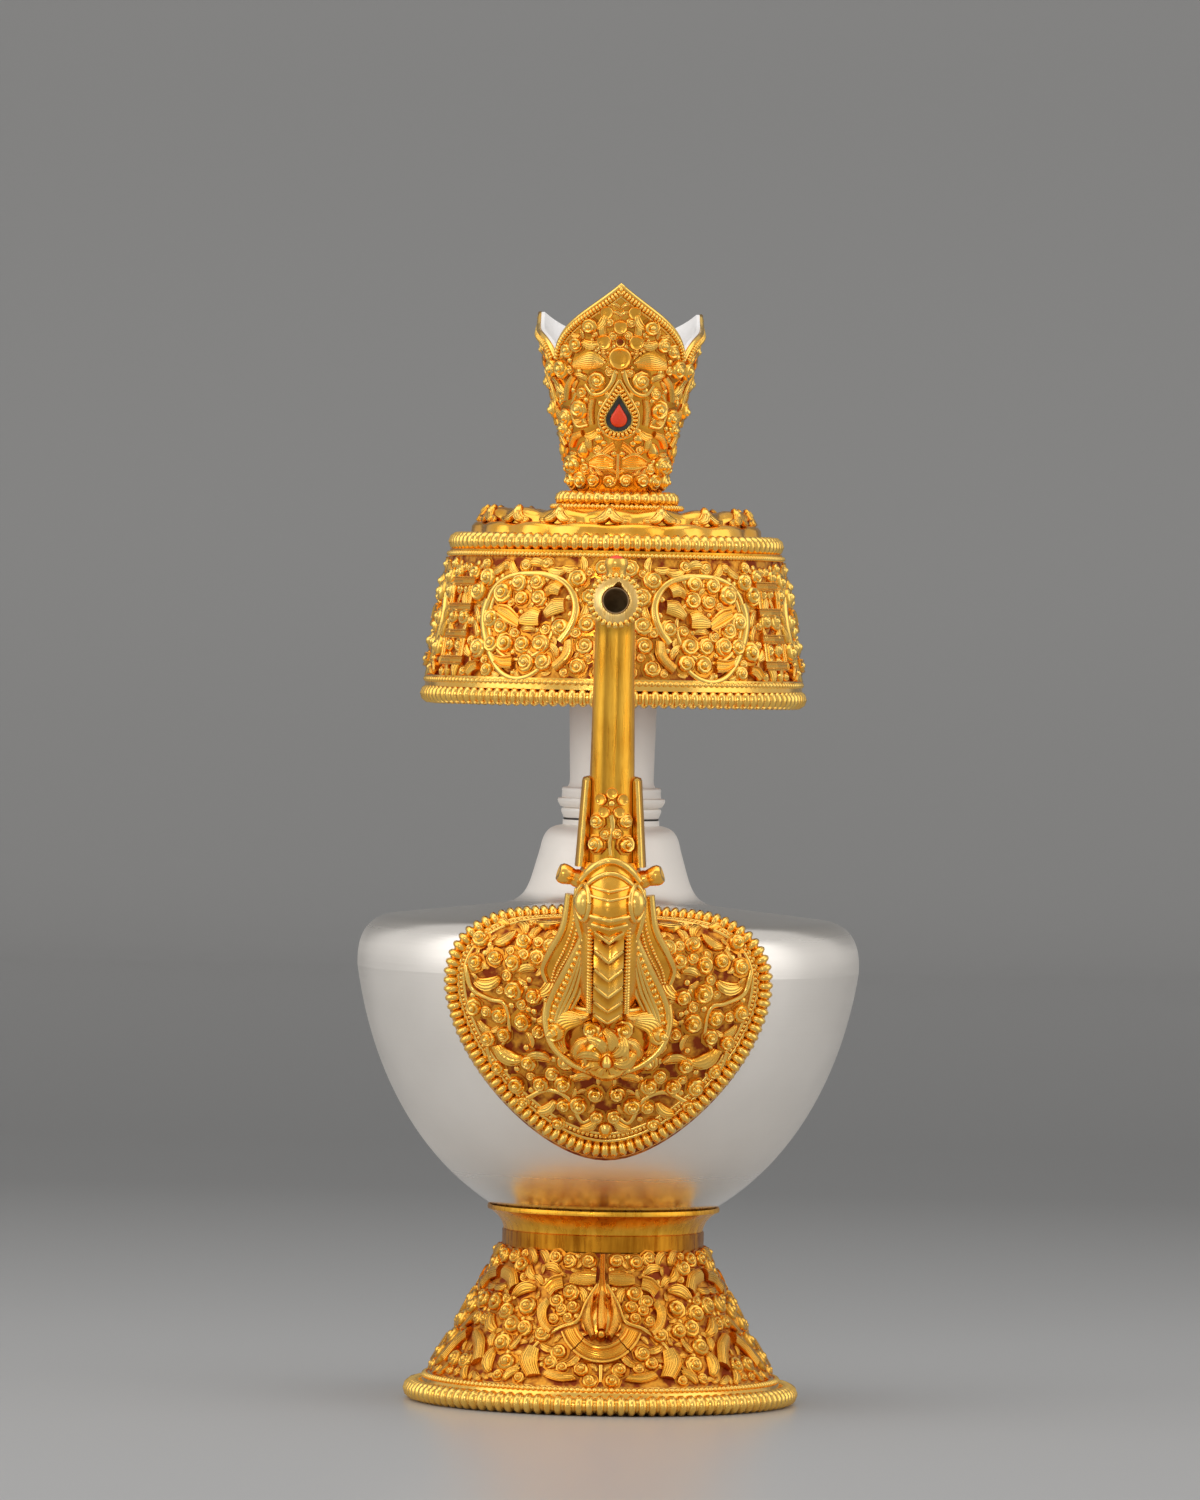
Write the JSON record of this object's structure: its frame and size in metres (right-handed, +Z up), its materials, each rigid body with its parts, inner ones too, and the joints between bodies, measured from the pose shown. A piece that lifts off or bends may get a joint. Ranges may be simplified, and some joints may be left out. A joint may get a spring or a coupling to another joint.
{
  "type": "tibetan bumpa vase",
  "caption": "Ritual water vase: silver bowl on a gilt foot, makara spout on a shield plate, and a lift-off neck with a gilt canopy and petalled crown.",
  "frame": {"origin": "on the vase's axis, on the plane that the foot stands on", "axes": "+Z up the axis, -Y towards the spout, +X to the right seen from the spout"},
  "size_m": [0.1078, 0.1324, 0.2398],
  "materials": {
    "gilt": "fire gilt repousse, bright on the high points",
    "silver": "satin silver, lathe brushed",
    "lacquer": "red lacquer ground",
    "coral": "polished coral",
    "onyx": "polished black stone",
    "hide": "dark waxed leather"
  },
  "bodies": {
    "vase": {"foot_shell": "gilt", "foot_rim_beads": "gilt", "foot_fine_beads": "gilt", "foot_collar": "gilt", "bowl_cup": "gilt", "bowl": "silver", "shoulder": "silver", "neck_dome": "silver", "neck_socket": "silver", "spout_plate": "gilt", "spout_plate_beads": "gilt", "makara_mane": "gilt", "makara_neck": "gilt", "makara_belly": "gilt", "makara_head": "gilt", "makara_eyes": "gilt", "makara_ears": "gilt", "spout_sheath": "gilt", "spout_root": "gilt", "spout_elbow": "gilt", "spout_tube": "gilt", "spout_tip": "gilt", "nozzle_lip": "gilt", "nozzle_beads": "gilt", "spout_jewel_cup": "gilt", "spout_jewel": "coral"},
    "seal": {"seal_washer": "hide"},
    "top": {"neck_spigot": "silver", "neck_moulding": "silver", "neck_tube": "silver", "canopy_plate": "gilt", "canopy_skirt": "gilt", "canopy_lining": "lacquer", "canopy_top_beads": "gilt", "canopy_top_fine_beads": "gilt", "canopy_bottom_beads": "gilt", "canopy_bottom_fine_beads": "gilt", "lotus_lower": "gilt", "lotus_upper": "gilt", "canopy_hub": "gilt", "hub_beads": "gilt", "crown_base_beads": "gilt", "crown_liner": "silver", "crown_petal_front": "gilt", "crown_petal_right": "gilt", "crown_petal_left": "gilt", "crown_edge_beads": "gilt", "crown_rosettes": "gilt", "coral_frames": "gilt", "coral_settings": "onyx", "corals": "coral"}
  },
  "joints": [
    {"name": "top_turn", "type": "hinge", "parent": "vase", "child": "seal", "pos_m": [0, 0, 0.1251], "axis": [0, 0, 1], "continuous": true},
    {"name": "top_lift", "type": "slide", "parent": "seal", "child": "top", "axis": [0, 0, 1], "range_m": [0, 0.045]}
  ]
}
